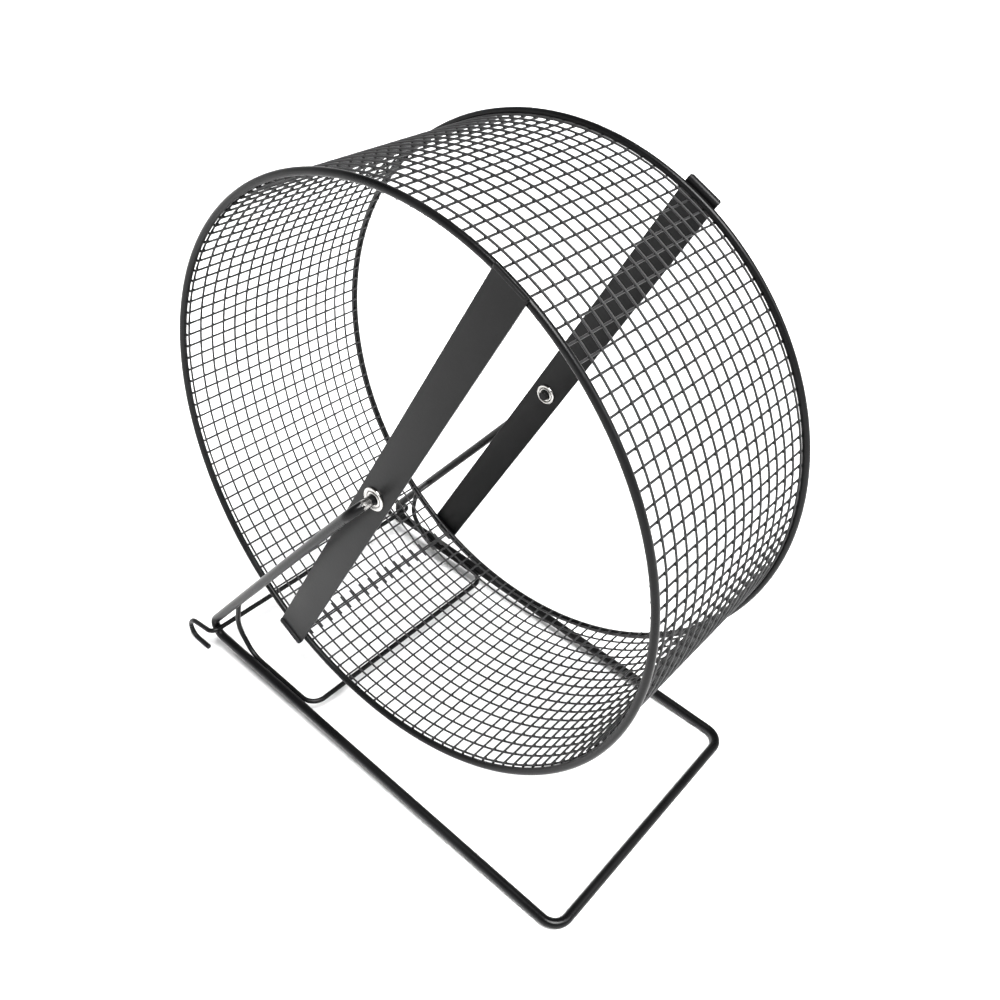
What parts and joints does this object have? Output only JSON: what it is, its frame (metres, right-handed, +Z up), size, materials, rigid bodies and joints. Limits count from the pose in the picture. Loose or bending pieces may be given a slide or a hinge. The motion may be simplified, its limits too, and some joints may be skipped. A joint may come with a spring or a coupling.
{
  "type": "hamster wheel",
  "caption": "Wire-mesh hamster wheel with flat crossbars and eyelets, turning on the bent tips of a wire stand with two rear hooks.",
  "frame": {"origin": "middle of the footprint on the standing surface, below the axle", "axes": "+X from the rear hooks to the front of the base, +Y along the axle to the left side, +Z up from the surface that the front wire and the hooks stand on"},
  "size_m": [0.2044, 0.1166, 0.2247],
  "materials": {
    "wire_black": "satin black powder coat",
    "mesh_black": "satin black coated wire mesh",
    "bar_grey": "satin charcoal powder coat",
    "eyelet_nickel": "bright nickel plate"
  },
  "bodies": {
    "stand": {"main_wire": "wire_black", "brace_wire": "wire_black", "hook_wire": "wire_black"},
    "wheel": {"rim_right": "wire_black", "rim_left": "wire_black", "mesh_hoops": "mesh_black", "mesh_rungs": "mesh_black", "seam_rung": "mesh_black", "seam_ends": "mesh_black", "crossbar_right": "bar_grey", "crossbar_left": "bar_grey", "eyelet_right": "eyelet_nickel", "eyelet_left": "eyelet_nickel"}
  },
  "joints": [
    {"name": "wheel_spin", "type": "hinge", "parent": "stand", "child": "wheel", "pos_m": [0, 0, 0.12244], "axis": [0, 1, 0], "continuous": true}
  ]
}
